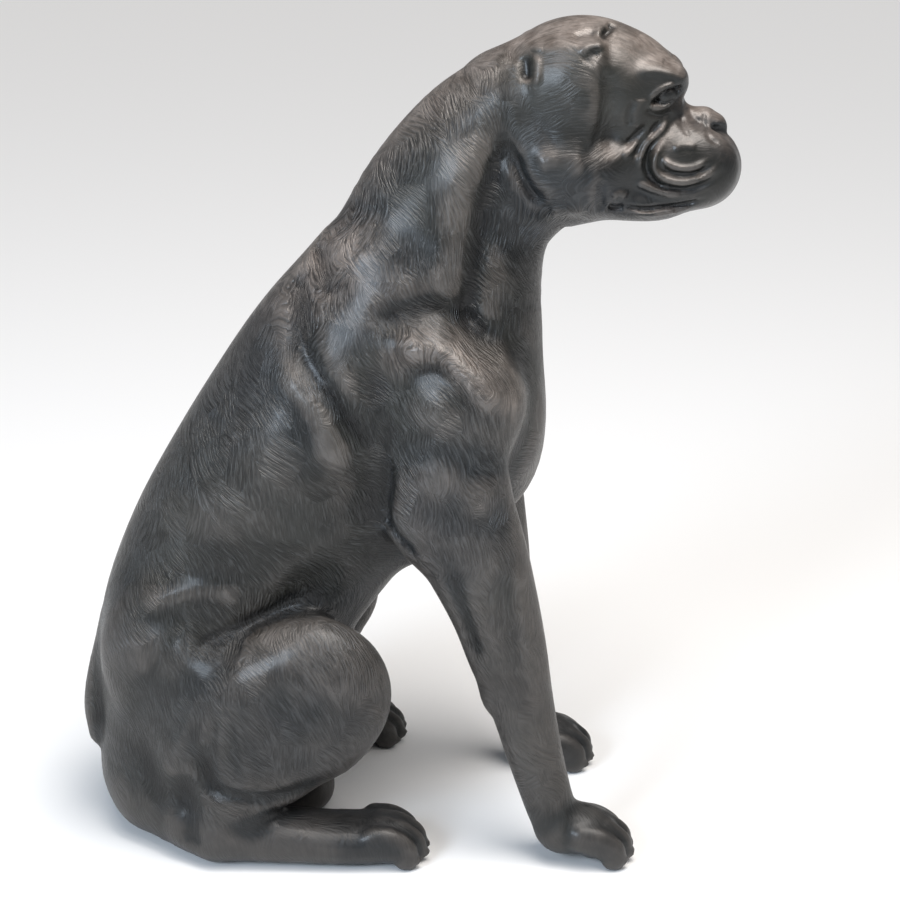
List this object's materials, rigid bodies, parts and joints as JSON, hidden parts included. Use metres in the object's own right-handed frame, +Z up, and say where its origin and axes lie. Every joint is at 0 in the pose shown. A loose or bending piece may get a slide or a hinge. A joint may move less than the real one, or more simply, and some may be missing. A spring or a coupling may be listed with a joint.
{
  "type": "dog statue",
  "caption": "Life-size sitting boxer dog cast in one hollow iron piece, short muzzle, folded ears, docked tail, textured short coat.",
  "frame": {"origin": "middle of the statue's bounding box in plan, at floor level", "axes": "+X the way the dog faces, +Y toward its left side, +Z up"},
  "size_m": [0.657, 0.341, 0.8317],
  "materials": {
    "patinated_iron": "dark semi-gloss patina with combed hair strokes, browner on top"
  },
  "bodies": {
    "root": {"dog": "patinated_iron"}
  },
  "joints": []
}
